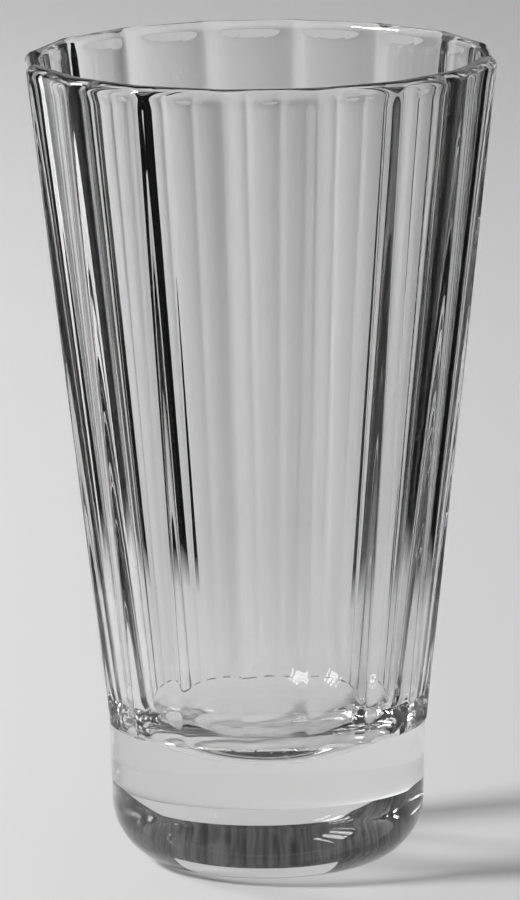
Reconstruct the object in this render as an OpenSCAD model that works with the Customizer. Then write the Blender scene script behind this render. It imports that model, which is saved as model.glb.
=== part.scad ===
// Panelled juice glass, pressed in one piece from clear glass.
// Millimetres, +Z up, origin at the middle of the foot on the surface that the glass stands on.
// A round solid foot carries a tall wall of flat panels that spreads to a rounded lip.

/* [Glass] */
// Height from the table to the top of the lip
glass_h = 120; // [100:1:150]
// Width of the mouth across opposite ridges, measured at the lip
rim_d = 70; // [62:0.5:80]
// Number of flat panels round the wall
panel_count = 16; // [12:2:20]

/* [Foot] */
// Diameter of the round foot, measured at its shoulder
foot_d = 46.6; // [43:0.2:54]
// Height of the round foot, up to where the panels begin
foot_h = 21.4; // [18:0.2:26]
// How far the side of the foot leans in towards the heel, in degrees
foot_lean = 1.6; // [0.4:0.1:4]
// Radius of the rounded heel under the foot
heel_r = 9.5; // [4:0.5:10]
// Radius of the rounded shoulder at the top of the foot
shoulder_r = 0.5; // [0.3:0.1:1]
// How far the ridges stand out past the foot where they end
ridge_out = 0.4; // [0.3:0.05:0.7]
// How far below the panels the tips of the ridges run out
ridge_tip = 1.2; // [0.9:0.1:2]
// Diameter of the shallow hollow under the foot
punt_d = 22; // [12:0.5:25]
// Depth of the shallow hollow under the foot
punt_depth = 0.8; // [0.3:0.1:1.5]

/* [Bowl] */
// Wall thickness at the middle of a panel, measured at the mouth
rim_wall = 2.5; // [1.8:0.1:4]
// Wall thickness at the middle of a panel, measured where the panels begin
low_wall = 4.8; // [2.5:0.1:5.5]
// Thickness of the solid glass under the middle of the bowl
floor_t = 16; // [12:0.2:20]
// Radius of the dish that the floor of the bowl forms
floor_round = 28.5; // [26:0.5:60]
// Radius of the round between the floor and the wall of the bowl
bowl_fillet = 9; // [3:0.5:12]
// Angle at which that round meets the floor, in degrees
floor_meet = 5; // [4:1:12]
// Radius of the fire-polished round on the outer edge of the lip
lip_outer_r = 1.5; // [0.5:0.1:1.8]
// Radius of the fire-polished round on the inner edge of the lip
lip_inner_r = 0.8; // [0.3:0.1:1]
// Angle at which the lip's round starts from the panels, in degrees
lip_start = 15; // [10:1:30]

/* [Hidden] */

// Smooth circles; every round face is an arc of the real radius
$fn = 96;

// Overrun of every cut past the face that it goes through
overrun = 1;

// Angle that one panel takes, and the share of a ridge's radius that its flat middle reaches
panel_angle = 360 / panel_count;
flat_share = cos(panel_angle / 2);

// Radius of the foot, and of the panels' flats where they begin and at the mouth
foot_r = foot_d / 2;
low_flat_r = (foot_r + ridge_out) * flat_share;
rim_flat_r = rim_d / 2 * flat_share;

// Slope at which the panels lean away from the axis
panel_run = (rim_flat_r - low_flat_r) / (glass_h - foot_h);

// Rounds of the lip, which leave a sliver of the wall between them however thin it is
outer_share = 0.6;
inner_share = 0.35;
outer_round = min(lip_outer_r, rim_wall * outer_share);
inner_round = min(lip_inner_r, rim_wall * inner_share);
outer_round_z = glass_h - outer_round;
inner_round_z = glass_h - inner_round;
outer_round_x = rim_flat_r - outer_round * panel_run - outer_round * cos(lip_start);

// Wall of the bowl: its radius at the mouth, and the radius that it would reach at the table
bowl_top_r = rim_flat_r - rim_wall;
bowl_run = (bowl_top_r - (low_flat_r - low_wall)) / (glass_h - foot_h);
bowl_lean = atan(bowl_run);
bowl_base_r = bowl_top_r - glass_h * bowl_run;

// Centre of the ball that dishes the floor, and how far from it the centre of the round lies that leads from
// the floor to the wall
dish_z = floor_t + floor_round;
round_reach = sqrt(floor_round ^ 2 + bowl_fillet ^ 2 - 2 * floor_round * bowl_fillet * cos(floor_meet));

// Centre of that round, which also touches the leaning wall. Both distances give a quadratic for its height,
// and the lower root is the one on the floor.
round_base_x = bowl_base_r - bowl_fillet / cos(bowl_lean);
root_a = 1 + bowl_run ^ 2;
root_b = bowl_run * round_base_x - dish_z;
root_c = round_base_x ^ 2 + dish_z ^ 2 - round_reach ^ 2;
bowl_round_z = (-root_b - sqrt(root_b ^ 2 - root_a * root_c)) / root_a;
bowl_round_x = round_base_x + bowl_run * bowl_round_z;

// Radius of the sphere that scoops the hollow under the foot
punt_r = (punt_d * punt_d / 4 + punt_depth * punt_depth) / (2 * punt_depth);

// Radius of the foot's leaning side at a height
function side_r(z) = foot_r - (foot_h - z) * tan(foot_lean);

// Outline of the foot from its axis: heel and shoulder are arcs that the leaning side touches
module foot_outline() {
    shoulder_z = foot_h - shoulder_r;
    heel_x = side_r(heel_r) - heel_r / cos(foot_lean);
    shoulder_x = side_r(shoulder_z) - shoulder_r / cos(foot_lean);
    polygon([
        [0, 0],
        [heel_x, 0],
        [heel_x + heel_r * cos(foot_lean), heel_r * (1 - sin(foot_lean))],
        [shoulder_x + shoulder_r * cos(foot_lean), shoulder_z - shoulder_r * sin(foot_lean)],
        [shoulder_x, foot_h],
        [0, foot_h]
    ]);
    translate([heel_x, heel_r])
        circle(heel_r);
    translate([shoulder_x, shoulder_z])
        circle(shoulder_r);
}

// Solid round foot
module foot() {
    rotate_extrude()
        foot_outline();
}

// Section of the turned blank that the panels are cut from. Below it slopes in under the ridges, so that
// their tips run out in the foot, and above it slopes in over them to the round of the lip.
module blank_outline() {
    tip_x = foot_r + ridge_out;
    wide_x = rim_d / 2 + overrun;
    lip_x = outer_round_x + outer_round;
    polygon([
        [0, foot_h - ridge_tip],
        [tip_x - ridge_tip, foot_h - ridge_tip],
        [wide_x, foot_h + wide_x - tip_x],
        [wide_x, outer_round_z + lip_x - wide_x],
        [lip_x, outer_round_z],
        [outer_round_x, outer_round_z],
        [outer_round_x, glass_h],
        [0, glass_h]
    ]);
    translate([outer_round_x, outer_round_z])
        circle(outer_round);
}

// Section across two opposite panels, past both ends of the blank
module panel_pair_outline() {
    under_x = low_flat_r - (ridge_tip + overrun) * panel_run;
    over_x = rim_flat_r + overrun * panel_run;
    polygon([
        [-under_x, foot_h - ridge_tip - overrun],
        [under_x, foot_h - ridge_tip - overrun],
        [over_x, glass_h + overrun],
        [-over_x, glass_h + overrun]
    ]);
}

// Block of glass that two opposite panels bound
module panel_pair() {
    rotate([90, 0, 0])
        linear_extrude(height = rim_d + overrun, center = true)
            panel_pair_outline();
}

// Panelled wall before the bowl is taken out: what the blank and all the pairs of panels have in common
module panelled_wall() {
    intersection() {
        rotate_extrude()
            blank_outline();
        intersection_for (i = [0 : panel_count / 2 - 1])
            rotate([0, 0, i * panel_angle])
                panel_pair();
    }
}

// Section of the bowl from its axis, open past the mouth: the dished floor, the round at its edge, and the wall.
// Where the bowl is narrow for its round, the round ends at the axis.
module bowl_outline() {
    dish_share = floor_round / round_reach;
    edge_x = bowl_round_x * dish_share;
    edge_z = dish_z - (dish_z - bowl_round_z) * dish_share;
    polygon([
        [0, edge_z],
        [edge_x, edge_z],
        [bowl_round_x + bowl_fillet * cos(bowl_lean), bowl_round_z - bowl_fillet * sin(bowl_lean)],
        [bowl_top_r + overrun * bowl_run, glass_h + overrun],
        [0, glass_h + overrun]
    ]);
    intersection() {
        translate([0, dish_z])
            circle(floor_round);
        translate([0, floor_t - overrun])
            square([edge_x, edge_z - floor_t + 2 * overrun]);
    }
    intersection() {
        translate([bowl_round_x, bowl_round_z])
            circle(bowl_fillet);
        translate([0, bowl_round_z - bowl_fillet - overrun])
            square([bowl_round_x + bowl_fillet + overrun, 2 * (bowl_fillet + overrun)]);
    }
}

// Corner that the fire took off inside the lip
module inner_lip_corner() {
    round_x = bowl_top_r - inner_round * bowl_run + inner_round / cos(bowl_lean);
    difference() {
        translate([round_x - inner_round - overrun, inner_round_z + inner_round * sin(bowl_lean)])
            square([inner_round + overrun, inner_round + overrun]);
        translate([round_x, inner_round_z])
            circle(inner_round);
    }
}

// Everything that the plunger leaves empty, with the rounding of the lip
module bowl() {
    rotate_extrude()
        bowl_outline();
    rotate_extrude()
        inner_lip_corner();
}

// Shallow round hollow under the foot, which leaves a flat ring to stand on
module punt() {
    translate([0, 0, punt_depth - punt_r])
        sphere(punt_r);
}

module tumbler() {
    color([0.86, 0.89, 0.89, 0.35])
        difference() {
            union() {
                foot();
                panelled_wall();
            }
            bowl();
            punt();
        }
}

tumbler();
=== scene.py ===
"""A panelled juice glass of clear pressed glass, dressed for its portrait on a pale table."""

import logging
import math
from dataclasses import dataclass, field
from enum import Enum
from typing import Any

import bmesh
import bpy
from mathutils import Matrix, Vector


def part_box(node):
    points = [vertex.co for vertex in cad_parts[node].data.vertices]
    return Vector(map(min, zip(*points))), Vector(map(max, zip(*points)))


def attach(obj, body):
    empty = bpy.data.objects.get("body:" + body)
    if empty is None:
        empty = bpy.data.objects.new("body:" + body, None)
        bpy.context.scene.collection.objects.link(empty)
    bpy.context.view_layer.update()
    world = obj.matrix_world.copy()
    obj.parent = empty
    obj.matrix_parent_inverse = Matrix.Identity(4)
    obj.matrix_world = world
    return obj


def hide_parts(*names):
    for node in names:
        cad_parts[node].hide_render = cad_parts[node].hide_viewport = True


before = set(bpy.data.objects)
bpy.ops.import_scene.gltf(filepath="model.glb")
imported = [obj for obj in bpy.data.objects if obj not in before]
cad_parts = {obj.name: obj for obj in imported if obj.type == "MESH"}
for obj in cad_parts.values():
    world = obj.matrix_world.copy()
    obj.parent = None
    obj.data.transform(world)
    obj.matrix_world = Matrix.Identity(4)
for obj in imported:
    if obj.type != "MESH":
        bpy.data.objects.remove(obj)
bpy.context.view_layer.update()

MM = 0.001
PHOTO_HEIGHT_PX = 900
VIEW_AZIMUTH_DEG = -2.7
THROUGH_BOUNCES = 24
MIRROR_BOUNCES = 12

log = logging.getLogger("juice_glass")

Pair = tuple[float, float]
Triple = tuple[float, float, float]


class RayKind(Enum):
    """Kinds of ray that the materials tell apart, named by the Light Path socket."""

    CAMERA = "Is Camera Ray"
    GLOSSY = "Is Glossy Ray"
    TRANSMITTED = "Is Transmission Ray"
    SHADOW = "Is Shadow Ray"


def linear_from_hex(code: str) -> tuple[float, float, float, float]:
    """Turn an sRGB hex colour into the linear colour that a shader takes.

    Args:
        code: Six hex digits, red first.

    Returns:
        Linear red, green, blue and an alpha of one.
    """
    channels = [int(code[i:i + 2], 16) / 255 for i in (0, 2, 4)]
    return (*[c / 12.92 if c <= 0.04045 else ((c + 0.055) / 1.055) ** 2.4 for c in channels], 1.0)


def add_node(tree: bpy.types.NodeTree, kind: str, settings: dict[str, Any] | None = None,
             inputs: dict[Any, Any] | None = None) -> bpy.types.Node:
    """Add one node with its settings, its plain input values and its incoming links.

    Args:
        tree: The node tree that gets the node.
        kind: The node's type name.
        settings: Attributes of the node, such as its operation.
        inputs: Input name or index, to a plain value or to the output socket that feeds it.

    Returns:
        The new node.
    """
    node = tree.nodes.new(kind)
    for name, value in (settings or {}).items():
        setattr(node, name, value)
    for name, value in (inputs or {}).items():
        if isinstance(value, bpy.types.NodeSocket):
            tree.links.new(value, node.inputs[name])
        else:
            node.inputs[name].default_value = value
    return node


def new_material(name: str) -> bpy.types.Material:
    """Make a material with an empty node tree.

    Args:
        name: Name of the material.

    Returns:
        The material.
    """
    material = bpy.data.materials.new(name)
    material.use_nodes = True
    material.node_tree.nodes.clear()
    return material


def add_object(name: str, data: Any) -> bpy.types.Object:
    """Link a new object to the scene.

    Args:
        name: Name of the object.
        data: The mesh, lamp or camera that it carries.

    Returns:
        The object, at the origin.
    """
    made = bpy.data.objects.new(name, data)
    bpy.context.scene.collection.objects.link(made)
    return made


def spread(start: float, stop: float, steps: int) -> list[float]:
    """Even values from start to stop, both ends included."""
    return [start + (stop - start) * i / steps for i in range(steps + 1)]


@dataclass(frozen=True)
class PressedSodaLimeGlass:
    """Clear colourless soda-lime glass, pressed in a mould and fire-polished.

    It has no colour of its own and a smooth skin, so the eye gets only refraction, sharp highlights
    and, on the skin, the slight waviness that the mould and the plunger left. Its shadow is bright
    where light goes straight through, and dark where it meets the glass aslant.
    """

    name: str = "soda_lime_glass_pressed"
    tint_hex: str = "FCFCFC"
    ior: float = 1.52
    roughness: float = 0.0
    shadow_clearness: float = 1.0
    shadow_edge: float = 0.05
    edge_starts: float = 0.35
    wave_mm: float = 9.0
    wave_height_mm: float = 0.004
    wave_detail: float = 1.0
    slant_blend: float = 0.5

    def material(self) -> bpy.types.Material:
        """Build the glass.

        Returns:
            The finished material.
        """
        material = new_material(self.name)
        tree = material.node_tree
        place = add_node(tree, "ShaderNodeTexCoord")
        waves = add_node(tree, "ShaderNodeTexNoise", inputs={
            "Vector": place.outputs["Object"], "Scale": 1 / (self.wave_mm * MM),
            "Detail": self.wave_detail,
        })
        skin = add_node(tree, "ShaderNodeBump", inputs={
            "Strength": 1.0, "Distance": self.wave_height_mm * MM, "Height": waves.outputs[0],
        })
        glass = add_node(tree, "ShaderNodeBsdfPrincipled", inputs={
            "Base Color": linear_from_hex(self.tint_hex),
            "Roughness": self.roughness,
            "IOR": self.ior,
            "Transmission Weight": 1.0,
            "Normal": skin.outputs[0],
        })
        slant = add_node(tree, "ShaderNodeLayerWeight", inputs={"Blend": self.slant_blend})
        passed = add_node(tree, "ShaderNodeMapRange", inputs={
            "Value": slant.outputs["Facing"], "From Min": self.edge_starts, "From Max": 1.0,
            "To Min": self.shadow_clearness, "To Max": self.shadow_edge,
        })
        clear = add_node(tree, "ShaderNodeBsdfTransparent", inputs={"Color": passed.outputs[0]})
        rays = add_node(tree, "ShaderNodeLightPath")
        mixed = add_node(tree, "ShaderNodeMixShader", inputs={
            0: rays.outputs[RayKind.SHADOW.value], 1: glass.outputs[0], 2: clear.outputs[0],
        })
        add_node(tree, "ShaderNodeOutputMaterial", inputs={"Surface": mixed.outputs[0]})
        return material


@dataclass(frozen=True)
class Fineness:
    """How many steps each stretch of the glass's outline is drawn with."""

    crest: int = 18
    flat: int = 5
    hollow: int = 5
    standing_ring: int = 3
    heel: int = 32
    foot_side: int = 3
    shoulder: int = 14
    wall: int = 8
    soft_top: int = 6
    lip_outside: int = 9
    lip_inside: int = 7
    bowl_wall: int = 8
    fillet: int = 16
    dish: int = 9


@dataclass
class Tumbler:
    """The whole glass: one pressing with a round foot, flat panels and a fire-polished lip.

    Sizes are in millimetres. They follow the solid's own to a tenth, and add what pressing and fire
    polishing leave: soft ridges and lip, a bead beside each ridge, and slightly hollow panels. The
    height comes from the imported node.
    """

    finish: PressedSodaLimeGlass
    node: str = "tumbler"
    panel_count: int = 16
    foot_r: float = 23.3
    foot_h: float = 21.4
    foot_lean_deg: float = 1.6
    heel_r: float = 9.5
    shoulder_r: float = 0.5
    ridge_out: float = 0.4
    punt_r: float = 11.0
    punt_depth: float = 0.8
    rim_r: float = 34.98
    rim_wall: float = 2.4
    low_wall: float = 4.85
    floor_t: float = 16.0
    floor_round: float = 28.5
    bowl_fillet: float = 9.0
    lip_outer_r: float = 1.6
    lip_inner_r: float = 0.8
    crest_soft: float = 0.5
    lip_crest_soft: float = 3.0
    lip_soften: float = 1.8
    bead_h: float = 0.21
    bead_w: float = 1.9
    panel_hollow: float = 0.2
    crest_reach: float = 3.0
    dish_pole_share: float = 0.125
    weld: float = 0.002
    fine: Fineness = Fineness()

    def __post_init__(self) -> None:
        """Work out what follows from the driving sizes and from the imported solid."""
        low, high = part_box(self.node)
        self.height = (high[2] - low[2]) / MM
        self.half_angle = math.pi / self.panel_count
        share = math.cos(self.half_angle)
        rim_flat_r = self.rim_r * share
        low_flat_r = (self.foot_r + self.ridge_out) * share
        tall = self.height - self.foot_h
        self.ridge_run = (self.rim_r - self.foot_r - self.ridge_out) / tall
        self.bowl_top_r = rim_flat_r - self.rim_wall
        self.bowl_run = (self.bowl_top_r - low_flat_r + self.low_wall) / tall
        self.foot_lean = math.radians(self.foot_lean_deg)
        self.lip_z = self.height - self.lip_outer_r

    def ridge_r(self, z: float) -> float:
        """Radius of a ridge's crest at a height."""
        return self.rim_r - (self.height - z) * self.ridge_run

    def bowl_r(self, z: float) -> float:
        """Radius of the bowl's wall at a height."""
        return self.bowl_top_r - (self.height - z) * self.bowl_run

    def side_r(self, z: float) -> float:
        """Radius of the foot's leaning side at a height."""
        return self.foot_r - (self.foot_h - z) * math.tan(self.foot_lean)

    def crest_softness(self, z: float) -> float:
        """How wide the top of a ridge is rounded at a height: more where the lip was polished."""
        melt = min(max((z - self.lip_z + self.lip_soften) / (self.lip_soften + self.lip_outer_r), 0.0), 1.0)
        return self.crest_soft + (self.lip_crest_soft - self.crest_soft) * melt ** 2

    def panel_points(self, z: float) -> list[Pair]:
        """Outline of one panel at a height, from the middle of one ridge to the middle of the next.

        Beside each ridge the panel rises in a soft bead, and between the beads it is slightly hollow.

        Args:
            z: Height in millimetres.

        Returns:
            Angle from the panel's middle and radius, for each point.
        """
        ridge = self.ridge_r(z)
        soft = self.crest_softness(z)
        slope = math.tan(self.half_angle)
        middle = ridge * math.sin(self.half_angle)
        places = spread(0.0, self.crest_reach, self.fine.crest)
        places += spread(self.crest_reach, middle, self.fine.flat)[1:]
        half = []
        for s in places:
            fall = slope * (math.hypot(s, soft) - soft)
            bead = self.bead_h * (1 - math.exp(-(s / self.bead_w) ** 2))
            hollow = self.panel_hollow * (1 - (1 - s / middle) ** 2)
            out = ridge - (fall + bead) - hollow
            half.append((self.half_angle - math.atan2(s, out), math.hypot(s, out)))
        half[-1] = (0.0, half[-1][1])
        return [(-angle, r) for angle, r in half[:-1]] + half[::-1]

    def foot_profile_r(self, z: float) -> float:
        """Radius of the foot's side and shoulder.

        Args:
            z: Height in millimetres, above the heel.

        Returns:
            Radius in millimetres.
        """
        rise = self.shoulder_r - (self.foot_h - z)
        if rise <= 0.0:
            return self.side_r(z)
        return self.side_r(z) - self.shoulder_r + math.sqrt(max(self.shoulder_r ** 2 - rise ** 2, 0.0))

    def outer_ring(self, z: float) -> list[Triple]:
        """Outline of one panel's share of the outside at a height, where wall and foot meet.

        Args:
            z: Height in millimetres.

        Returns:
            Angle from the panel's middle, radius and height, for each point.
        """
        ridge_end = self.foot_r + self.ridge_out - (self.foot_h - z)
        foot = self.foot_profile_r(z) if z < self.foot_h else 0.0
        return [(angle, max(min(r, ridge_end), foot), z) for angle, r in self.panel_points(z)]

    def foot_profile(self) -> list[Pair]:
        """Outline from the hollow under the foot, round the heel and up the leaning side.

        Returns:
            Radius and height in millimetres, for each point.
        """
        ball = (self.punt_r ** 2 + self.punt_depth ** 2) / (2 * self.punt_depth)
        innermost = self.punt_r / (self.fine.hollow + 1)
        line = [(r, self.punt_depth - ball + math.sqrt(ball ** 2 - r ** 2))
                for r in spread(innermost, self.punt_r, self.fine.hollow)]
        heel_x = self.side_r(self.heel_r) - self.heel_r / math.cos(self.foot_lean)
        line += [(r, 0.0) for r in spread(self.punt_r, heel_x, self.fine.standing_ring)[1:-1]]
        line += [(heel_x + self.heel_r * math.sin(turn), self.heel_r * (1 - math.cos(turn)))
                 for turn in spread(0.0, math.pi / 2 + self.foot_lean, self.fine.heel)]
        side = spread(line[-1][1], self.foot_h - self.shoulder_r, self.fine.foot_side)
        line += [(self.side_r(z), z) for z in side[1:]]
        return line

    def bowl_profile(self) -> list[Pair]:
        """Outline down the bowl's wall, round its fillet and in over the dished floor.

        The fillet touches the wall and the dish, which gives a quadratic for the height of its middle.

        Returns:
            Radius and height in millimetres, for each point.
        """
        lean = math.atan(self.bowl_run)
        base_x = self.bowl_r(0.0) - self.bowl_fillet / math.cos(lean)
        dish_z = self.floor_t + self.floor_round
        reach = self.floor_round - self.bowl_fillet
        a = 1 + self.bowl_run ** 2
        b = self.bowl_run * base_x - dish_z
        c = base_x ** 2 + dish_z ** 2 - reach ** 2
        round_z = (-b - math.sqrt(b * b - a * c)) / a
        round_x = base_x + self.bowl_run * round_z
        edge = math.atan2(round_x, dish_z - round_z)
        wall_z = round_z - self.bowl_fillet * math.sin(lean)
        line = [(self.bowl_r(z), z)
                for z in spread(self.height - self.lip_inner_r, wall_z, self.fine.bowl_wall)]
        line += [(round_x + self.bowl_fillet * math.cos(turn), round_z - self.bowl_fillet * math.sin(turn))
                 for turn in spread(lean, math.pi / 2 - edge, self.fine.fillet)[1:]]
        line += [(self.floor_round * math.sin(turn), dish_z - self.floor_round * math.cos(turn))
                 for turn in spread(edge, edge * self.dish_pole_share, self.fine.dish)[1:]]
        return line

    def lip_rings(self) -> list[list[Triple]]:
        """Rings over the lip: a quarter circle up the outside, a quarter of an ellipse down the inside.

        Returns:
            For each ring its points as angle, radius and height in millimetres.
        """
        rings = []
        for turn in spread(0.0, math.pi / 2, self.fine.lip_outside)[1:]:
            z = self.lip_z + self.lip_outer_r * math.sin(turn)
            draw = self.lip_outer_r * (1 - math.cos(turn))
            rings.append([(angle, r - draw, z) for angle, r in self.panel_points(z)])
        crown = rings[-1]
        for turn in spread(math.pi / 2, math.pi, self.fine.lip_inside)[1:-1]:
            z = self.height - self.lip_inner_r * (1 - math.sin(turn))
            inner = self.bowl_r(self.height - self.lip_inner_r)
            rings.append([(angle, inner + (r - inner) * (1 + math.cos(turn)), z) for angle, r, _ in crown])
        return rings

    def rings(self) -> list[list[Triple]]:
        """Every ring of one panel's sector, from under the foot round the outside to the bowl's floor.

        Returns:
            For each ring its points as angle, radius and height in millimetres.
        """
        angles = [angle for angle, _ in self.panel_points(self.foot_h)]
        rings = [[(angle, r, z) for angle in angles] for r, z in self.foot_profile()]
        shoulder_top = self.foot_h + self.shoulder_r
        soft_start = self.lip_z - self.lip_soften
        shoulder = spread(self.foot_h - self.shoulder_r, shoulder_top, self.fine.shoulder)[1:]
        wall = spread(shoulder_top, soft_start, self.fine.wall)[1:]
        soft = spread(soft_start, self.lip_z, self.fine.soft_top)[1:]
        rings += [self.outer_ring(z) for z in shoulder]
        rings += [[(angle, r, z) for angle, r in self.panel_points(z)] for z in wall + soft]
        rings += self.lip_rings()
        rings += [[(angle, r, z) for angle in angles] for r, z in self.bowl_profile()]
        return rings

    def sector_mesh(self) -> bpy.types.Mesh:
        """Mesh of the share of the glass that one panel owns, with its middle towards -Y.

        Returns:
            The mesh, in metres.
        """
        mesh = bpy.data.meshes.new("panel_sector")
        shape = bmesh.new()
        rows = []
        for ring in self.rings():
            rows.append([shape.verts.new((r * math.sin(angle) * MM, -r * math.cos(angle) * MM, z * MM))
                         for angle, r, z in ring])
        for lower, upper in zip(rows, rows[1:]):
            for i in range(len(lower) - 1):
                shape.faces.new((lower[i], lower[i + 1], upper[i + 1], upper[i]))
        for row, z, flip in ((rows[0], self.punt_depth, True), (rows[-1], self.floor_t, False)):
            pole = shape.verts.new((0.0, 0.0, z * MM))
            for a, b in zip(row, row[1:]):
                shape.faces.new((pole, b, a) if flip else (pole, a, b))
        shape.to_mesh(mesh)
        shape.free()
        return mesh

    def panel_tree(self) -> bpy.types.NodeTree:
        """Geometry Nodes that set the sector round the axis once for each panel and weld the seams.

        Returns:
            The node group, with named inputs for the count, the weld distance and the material.
        """
        tree = bpy.data.node_groups.new("panels_round_the_axis", "GeometryNodeTree")
        sockets = tree.interface
        sockets.new_socket("Geometry", in_out="INPUT", socket_type="NodeSocketGeometry")
        sockets.new_socket("Panel Count", in_out="INPUT", socket_type="NodeSocketInt")
        sockets.new_socket("Weld Distance", in_out="INPUT", socket_type="NodeSocketFloat")
        sockets.new_socket("Glass", in_out="INPUT", socket_type="NodeSocketMaterial")
        sockets.new_socket("Geometry", in_out="OUTPUT", socket_type="NodeSocketGeometry")
        given = add_node(tree, "NodeGroupInput")
        count = given.outputs["Panel Count"]
        step = add_node(tree, "ShaderNodeMath", {"operation": "DIVIDE"}, {0: math.tau, 1: count})
        index = add_node(tree, "GeometryNodeInputIndex")
        turn = add_node(tree, "ShaderNodeMath", {"operation": "MULTIPLY"},
                        {0: index.outputs[0], 1: step.outputs[0]})
        turn_z = add_node(tree, "ShaderNodeCombineXYZ", inputs={"Z": turn.outputs[0]})
        seats = add_node(tree, "GeometryNodePoints", inputs={"Count": count})
        panels = add_node(tree, "GeometryNodeInstanceOnPoints", inputs={
            "Points": seats.outputs[0], "Instance": given.outputs["Geometry"],
            "Rotation": turn_z.outputs[0],
        })
        real = add_node(tree, "GeometryNodeRealizeInstances", inputs={"Geometry": panels.outputs[0]})
        welded = add_node(tree, "GeometryNodeMergeByDistance", inputs={
            "Geometry": real.outputs[0], "Distance": given.outputs["Weld Distance"],
        })
        smooth = add_node(tree, "GeometryNodeSetShadeSmooth", inputs={"Geometry": welded.outputs[0]})
        dressed = add_node(tree, "GeometryNodeSetMaterial", inputs={
            "Geometry": smooth.outputs[0], "Material": given.outputs["Glass"],
        })
        add_node(tree, "NodeGroupOutput", inputs={"Geometry": dressed.outputs[0]})
        return tree

    def build(self) -> bpy.types.Object:
        """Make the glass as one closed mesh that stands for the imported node.

        Returns:
            The finished object.
        """
        seed = add_object("panel_sector", self.sector_mesh())
        tree = self.panel_tree()
        modifier = seed.modifiers.new("panels", "NODES")
        modifier.node_group = tree
        values = {
            "Panel Count": self.panel_count, "Weld Distance": self.weld * MM,
            "Glass": self.finish.material(),
        }
        for item in tree.interface.items_tree:
            if item.in_out == "INPUT" and item.name in values:
                modifier[item.identifier] = values[item.name]
        depsgraph = bpy.context.evaluated_depsgraph_get()
        mesh = bpy.data.meshes.new_from_object(seed.evaluated_get(depsgraph))
        seed.modifiers.remove(modifier)
        bpy.data.objects.remove(seed)
        mesh.name = "pressed_tumbler"
        piece = add_object("pressed_tumbler", mesh)
        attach(piece, "root")
        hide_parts(self.node)
        return piece


def glow_material(name: str, tone_hex: str) -> bpy.types.Material:
    """Even tone of a sheet that is lit from elsewhere.

    Args:
        name: Name of the material.
        tone_hex: The tone.

    Returns:
        The finished material.
    """
    material = new_material(name)
    tree = material.node_tree
    glow = add_node(tree, "ShaderNodeEmission", inputs={"Color": linear_from_hex(tone_hex)})
    add_node(tree, "ShaderNodeOutputMaterial", inputs={"Surface": glow.outputs[0]})
    return material


def faded_material(name: str, tone_hex: str, near: float, fade: float) -> bpy.types.Material:
    """Even tone of a card's upper side, which fades out towards the axis and is clear from below.

    Args:
        name: Name of the material.
        tone_hex: The tone.
        near: Distance from the axis at which nothing is left of it.
        fade: How much farther out it is full.

    Returns:
        The finished material.
    """
    material = new_material(name)
    tree = material.node_tree
    glow = add_node(tree, "ShaderNodeEmission", inputs={"Color": linear_from_hex(tone_hex)})
    nothing = add_node(tree, "ShaderNodeBsdfTransparent")
    place = add_node(tree, "ShaderNodeTexCoord")
    reach = add_node(tree, "ShaderNodeVectorMath", {"operation": "LENGTH"}, {0: place.outputs["Object"]})
    thin = add_node(tree, "ShaderNodeMapRange", inputs={
        "Value": reach.outputs["Value"], "From Min": near, "From Max": near + fade,
        "To Min": 1.0, "To Max": 0.0,
    })
    side = add_node(tree, "ShaderNodeNewGeometry")
    clear = add_node(tree, "ShaderNodeMath", {"operation": "MAXIMUM"},
                     {0: side.outputs["Backfacing"], 1: thin.outputs[0]})
    mixed = add_node(tree, "ShaderNodeMixShader", inputs={
        0: clear.outputs[0], 1: glow.outputs[0], 2: nothing.outputs[0],
    })
    add_node(tree, "ShaderNodeOutputMaterial", inputs={"Surface": mixed.outputs[0]})
    return material


def glass_only(card: bpy.types.Object) -> bpy.types.Object:
    """Let only reflections and refractions see a card.

    Args:
        card: The card or sheet.

    Returns:
        The same card.
    """
    card.visible_camera = False
    card.visible_diffuse = False
    card.visible_shadow = False
    return card


@dataclass(frozen=True)
class Card:
    """A level dark card just over the table that only the glass sees, and only from above.

    Angles run from the line of sight to the right, lengths are in metres from the glass's axis. The
    card fades out over its last stretch towards the glass.
    """

    name: str
    start_deg: float
    stop_deg: float
    near: float
    far: float
    tone_hex: str
    lift: float = 0.012
    fade: float = 0.025
    step_deg: float = 4.0

    def build(self) -> bpy.types.Object:
        """Lay the card.

        Returns:
            The card.
        """
        steps = max(int((self.stop_deg - self.start_deg) / self.step_deg), 1)
        rows = []
        for reach in (self.near, self.far):
            for degrees in spread(self.start_deg, self.stop_deg, steps):
                angle = math.radians(degrees - VIEW_AZIMUTH_DEG)
                rows.append((reach * math.sin(angle), reach * math.cos(angle), self.lift))
        wide = steps + 1
        faces = [(i, i + 1, wide + i + 1, wide + i) for i in range(steps)]
        mesh = bpy.data.meshes.new(self.name)
        mesh.from_pydata(rows, [], faces)
        mesh.materials.append(faded_material(self.name, self.tone_hex, self.near, self.fade))
        return glass_only(add_object(self.name, mesh))


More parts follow.
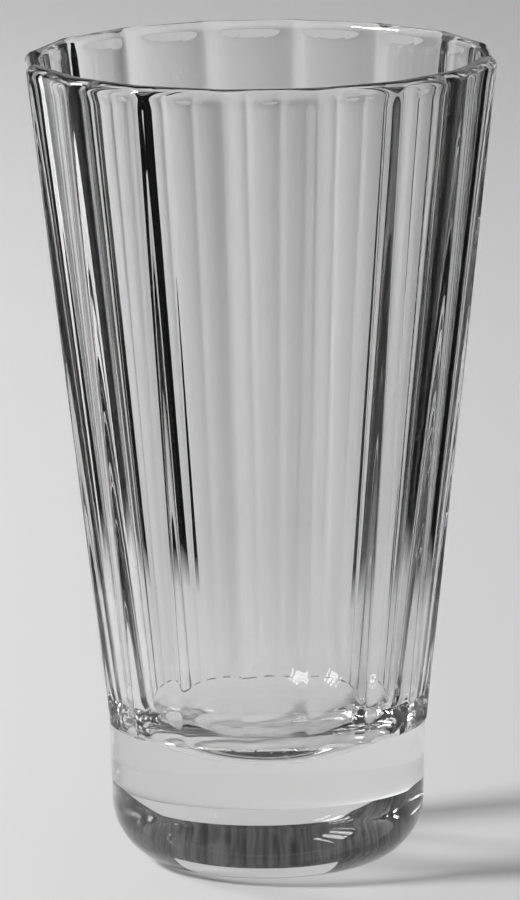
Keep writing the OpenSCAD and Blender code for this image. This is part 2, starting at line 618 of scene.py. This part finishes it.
@dataclass(frozen=True)
class RisingSheet:
    """Pale paper that rises behind the table, which only the glass sees, with a slanting top edge.

    Each place of the edge has three angles from the foot: to the right of the line of sight, up to the
    sheet's bottom, and up to its top.
    """

    name: str
    edge: tuple[Triple, ...]
    tone_hex: str = "C4C4C4"
    reach: float = 0.95
    foot_z: float = 0.006

    def build(self) -> bpy.types.Object:
        """Stand the sheet.

        Returns:
            The sheet.
        """
        rows = []
        for degrees, *rises in self.edge:
            angle = math.radians(degrees - VIEW_AZIMUTH_DEG)
            x, y = self.reach * math.sin(angle), self.reach * math.cos(angle)
            rows += [(x, y, self.foot_z + self.reach * math.tan(math.radians(rise))) for rise in rises]
        faces = [(i, i + 2, i + 3, i + 1) for i in range(0, len(rows) - 2, 2)]
        mesh = bpy.data.meshes.new(self.name)
        mesh.from_pydata(rows, [], faces)
        mesh.materials.append(glow_material(self.name, self.tone_hex))
        return glass_only(add_object(self.name, mesh))


@dataclass(frozen=True)
class Lamp:
    """A square soft lamp, in metres and watts."""

    name: str
    place: Triple
    aim: Triple
    size: float
    watts: float
    seen_in_glass: bool = False
    lights_table: bool = True

    def build(self) -> bpy.types.Object:
        """Hang the lamp.

        Returns:
            The lamp.
        """
        data = bpy.data.lights.new(self.name, "AREA")
        data.size = self.size
        data.energy = self.watts
        lamp = add_object(self.name, data)
        lamp.visible_glossy = lamp.visible_transmission = self.seen_in_glass
        lamp.visible_diffuse = self.lights_table
        lamp.location = self.place
        look = Vector(self.aim) - Vector(self.place)
        lamp.rotation_euler = look.to_track_quat("-Z", "Y").to_euler()
        return lamp


@dataclass
class Stage:
    """The pale table, the world, the cards and the lamps. Lengths are in metres.

    The lit area is an oval with its middle behind the glass. Inside it the camera sees the table as
    the lamps light it. Outside it the tone eases into an even haze, as pale as the sky, which is full
    at lit_fade times the oval's size.
    """

    table_hex: str = "E0E0E0"
    # Painted shade: the darker tone that the table shows through the glass.
    table_shaded_in_glass_hex: str = "D6D6D6"
    table_size: float = 20.0
    haze_hex: str = "CCCCCC"
    lit_half_width: float = 0.15
    lit_half_depth: float = 0.62
    lit_middle: float = 0.32
    lit_fade: float = 1.7
    sky_hex: str = "CCCCCC"
    air_hex: str = "1E1E1E"
    room_tones: tuple[tuple[float, str], ...] = ((0.36, "1C1C1C"), (0.66, "585858"))
    streak_scale: float = 34.0
    streak_flatness: float = 0.06
    streak_detail: float = 3.0
    cards: list[Card] = field(default_factory=lambda: [
        Card("dark_card_left_edge", -42.0, -17.3, 0.115, 0.75, "101010"),
        Card("dark_card_left_side", -80.0, -53.0, 0.11, 0.75, "202020"),
        Card("dark_card_left_low", -80.0, -53.0, 0.14, 3.0, "303030", 0.002),
        Card("dark_card_right_edge", 23.3, 53.0, 0.10, 0.75, "0C0C0C"),
        Card("dark_card_right_side", 53.0, 80.0, 0.10, 0.75, "101010"),
        Card("dark_card_right_low", 53.0, 95.0, 0.14, 3.0, "242424", 0.002),
        Card("dark_card_front_right", 95.0, 124.0, 0.10, 4.0, "1C1C1C"),
        Card("dark_card_front", 146.0, 262.0, 0.08, 4.0, "1C1C1C"),
    ])
    sheets: list[RisingSheet] = field(default_factory=lambda: [
        RisingSheet("rising_sheet", (
            (-35.0, -0.4, -0.3), (-30.0, -0.4, 0.3), (-23.0, -0.4, 4.1), (-18.0, -0.4, 10.3),
            (33.0, -0.4, 10.3), (39.4, -0.4, 5.8), (45.0, -0.4, 3.0), (52.5, -0.4, -0.3),
        )),
        RisingSheet("upper_sheet", ((-20.0, 16.8, 50.0), (0.0, 16.8, 50.0), (30.0, 16.8, 50.0))),
    ])
    lamps: list[Lamp] = field(default_factory=lambda: [
        Lamp("window", (-0.893, -0.215, 0.77), (0.0, 0.0, 0.05), 0.26, 13.8),
        Lamp("window_in_glass", (-0.9, -0.22, 0.78), (0.0, 0.0, 0.05), 0.5, 60.0,
             seen_in_glass=True, lights_table=False),
        Lamp("sky_panel", (-0.9, 0.6, 0.4), (-0.27, 0.6, 0.0), 0.4, 11.7),
    ])

    def table_material(self) -> bpy.types.Material:
        """Pale matt card, with painted shade (a darker copy) where the glass shows it, and hazy where it is
        far away.

        Returns:
            The finished material.
        """
        material = new_material("table_matt_white_card")
        tree = material.node_tree
        pale = add_node(tree, "ShaderNodeBsdfDiffuse", inputs={"Color": linear_from_hex(self.table_hex)})
        # Painted shade: rays that came through the glass see the table in this darker tone.
        seen = add_node(tree, "ShaderNodeBsdfDiffuse", inputs={
            "Color": linear_from_hex(self.table_shaded_in_glass_hex),
        })
        rays = add_node(tree, "ShaderNodeLightPath")
        mixed = add_node(tree, "ShaderNodeMixShader", inputs={
            0: rays.outputs[RayKind.TRANSMITTED.value], 1: pale.outputs[0], 2: seen.outputs[0],
        })
        haze = add_node(tree, "ShaderNodeEmission", inputs={"Color": linear_from_hex(self.haze_hex)})
        place = add_node(tree, "ShaderNodeTexCoord")
        scaled = add_node(tree, "ShaderNodeMapping", inputs={
            "Vector": place.outputs["Object"],
            "Location": (0.0, -self.lit_middle / self.lit_half_depth, 0.0),
            "Scale": (1 / self.lit_half_width, 1 / self.lit_half_depth, 1.0),
        })
        reach = add_node(tree, "ShaderNodeVectorMath", {"operation": "LENGTH"}, {0: scaled.outputs[0]})
        distant = add_node(tree, "ShaderNodeMapRange", {"interpolation_type": "SMOOTHSTEP"}, {
            "Value": reach.outputs["Value"], "From Min": 1.0, "From Max": self.lit_fade,
        })
        hazed = add_node(tree, "ShaderNodeMath", {"operation": "MULTIPLY"},
                         {0: distant.outputs[0], 1: rays.outputs[RayKind.CAMERA.value]})
        shown = add_node(tree, "ShaderNodeMixShader", inputs={
            0: hazed.outputs[0], 1: mixed.outputs[0], 2: haze.outputs[0],
        })
        add_node(tree, "ShaderNodeOutputMaterial", inputs={"Surface": shown.outputs[0]})
        return material

    def build_table(self) -> bpy.types.Object:
        """Make the table top.

        Returns:
            The table top.
        """
        mesh = bpy.data.meshes.new("table_top")
        half = self.table_size / 2
        mesh.from_pydata([(-half, -half, 0), (half, -half, 0), (half, half, 0), (-half, half, 0)],
                         [], [(0, 1, 2, 3)])
        mesh.materials.append(self.table_material())
        table = add_object("table_top", mesh)
        return table

    def build_world(self) -> None:
        """Show the camera a pale sky, the glass a dark streaky room, and all else a dim ambient light."""
        world = bpy.data.worlds.new("studio")
        world.use_nodes = True
        tree = world.node_tree
        tree.nodes.clear()
        dim = add_node(tree, "ShaderNodeBackground", inputs={"Color": linear_from_hex(self.air_hex)})
        place = add_node(tree, "ShaderNodeTexCoord")
        drawn = add_node(tree, "ShaderNodeMapping", inputs={
            "Vector": place.outputs["Generated"], "Scale": (1.0, 1.0, self.streak_flatness),
        })
        streaks = add_node(tree, "ShaderNodeTexNoise", inputs={
            "Vector": drawn.outputs[0], "Scale": self.streak_scale, "Detail": self.streak_detail,
        })
        tone = add_node(tree, "ShaderNodeValToRGB", inputs={0: streaks.outputs[0]})
        for stop, (spot, code) in zip(tone.color_ramp.elements, self.room_tones):
            stop.position = spot
            stop.color = linear_from_hex(code)
        dark = add_node(tree, "ShaderNodeBackground", inputs={"Color": tone.outputs[0]})
        rays = add_node(tree, "ShaderNodeLightPath")
        seen = add_node(tree, "ShaderNodeMath", {"operation": "MAXIMUM"},
                        {0: rays.outputs[RayKind.TRANSMITTED.value], 1: rays.outputs[RayKind.GLOSSY.value]})
        mixed = add_node(tree, "ShaderNodeMixShader", inputs={
            0: seen.outputs[0], 1: dim.outputs[0], 2: dark.outputs[0],
        })
        sky = add_node(tree, "ShaderNodeBackground", inputs={"Color": linear_from_hex(self.sky_hex)})
        shown = add_node(tree, "ShaderNodeMixShader", inputs={
            0: rays.outputs[RayKind.CAMERA.value], 1: mixed.outputs[0], 2: sky.outputs[0],
        })
        add_node(tree, "ShaderNodeOutputWorld", inputs={"Surface": shown.outputs[0]})
        bpy.context.scene.world = world

    def build(self) -> None:
        """Set the whole stage."""
        self.build_table()
        self.build_world()
        for item in (*self.cards, *self.sheets, *self.lamps):
            item.build()


@dataclass
class Viewpoint:
    """The photograph's camera, in metres and degrees."""

    distance: float = 1.534
    elevation_deg: float = 10.98
    roll_deg: float = -0.66
    focal_px: float = 10448.0
    aim_x: float = -0.00063
    aim_z: float = 0.06116
    sensor_mm: float = 36.0
    far_clip: float = 100.0

    def build(self) -> bpy.types.Object:
        """Place the camera and make it the scene's own.

        Returns:
            The camera.
        """
        data = bpy.data.cameras.new("photograph")
        data.sensor_width = self.sensor_mm
        data.lens = self.focal_px / PHOTO_HEIGHT_PX * self.sensor_mm
        data.clip_end = self.far_clip
        camera = add_object("photograph", data)
        azimuth = math.radians(VIEW_AZIMUTH_DEG)
        elevation = math.radians(self.elevation_deg)
        back = Vector((math.sin(azimuth) * math.cos(elevation),
                       -math.cos(azimuth) * math.cos(elevation), math.sin(elevation)))
        right = Vector((math.cos(azimuth), math.sin(azimuth), 0))
        aim = right * self.aim_x + Vector((0, 0, self.aim_z))
        camera.location = aim + back * self.distance
        turn = (-back).to_track_quat("-Z", "Y").to_matrix() @ Matrix.Rotation(
            math.radians(self.roll_deg), 3, "Z")
        camera.rotation_euler = turn.to_euler()
        bpy.context.scene.camera = camera
        return camera


def set_view() -> None:
    """Keep the plain view transform, and let light pass the thick foot's many faces.

    The glass's shadow is made by its material, so light that glass would gather on the table is left out.
    """
    scene = bpy.context.scene
    scene.view_settings.view_transform = "Standard"
    scene.cycles.max_bounces = THROUGH_BOUNCES
    scene.cycles.transmission_bounces = THROUGH_BOUNCES
    scene.cycles.glossy_bounces = MIRROR_BOUNCES
    scene.cycles.caustics_reflective = False
    scene.cycles.caustics_refractive = False


def main() -> None:
    """Build the glass, the stage and the camera in order."""
    logging.basicConfig(level=logging.INFO)
    glass = Tumbler(finish=PressedSodaLimeGlass()).build()
    log.info("piece %s: %d faces", glass.name, len(glass.data.polygons))
    Stage().build()
    log.info("stage set")
    Viewpoint().build()
    set_view()


if __name__ == "__main__":
    main()
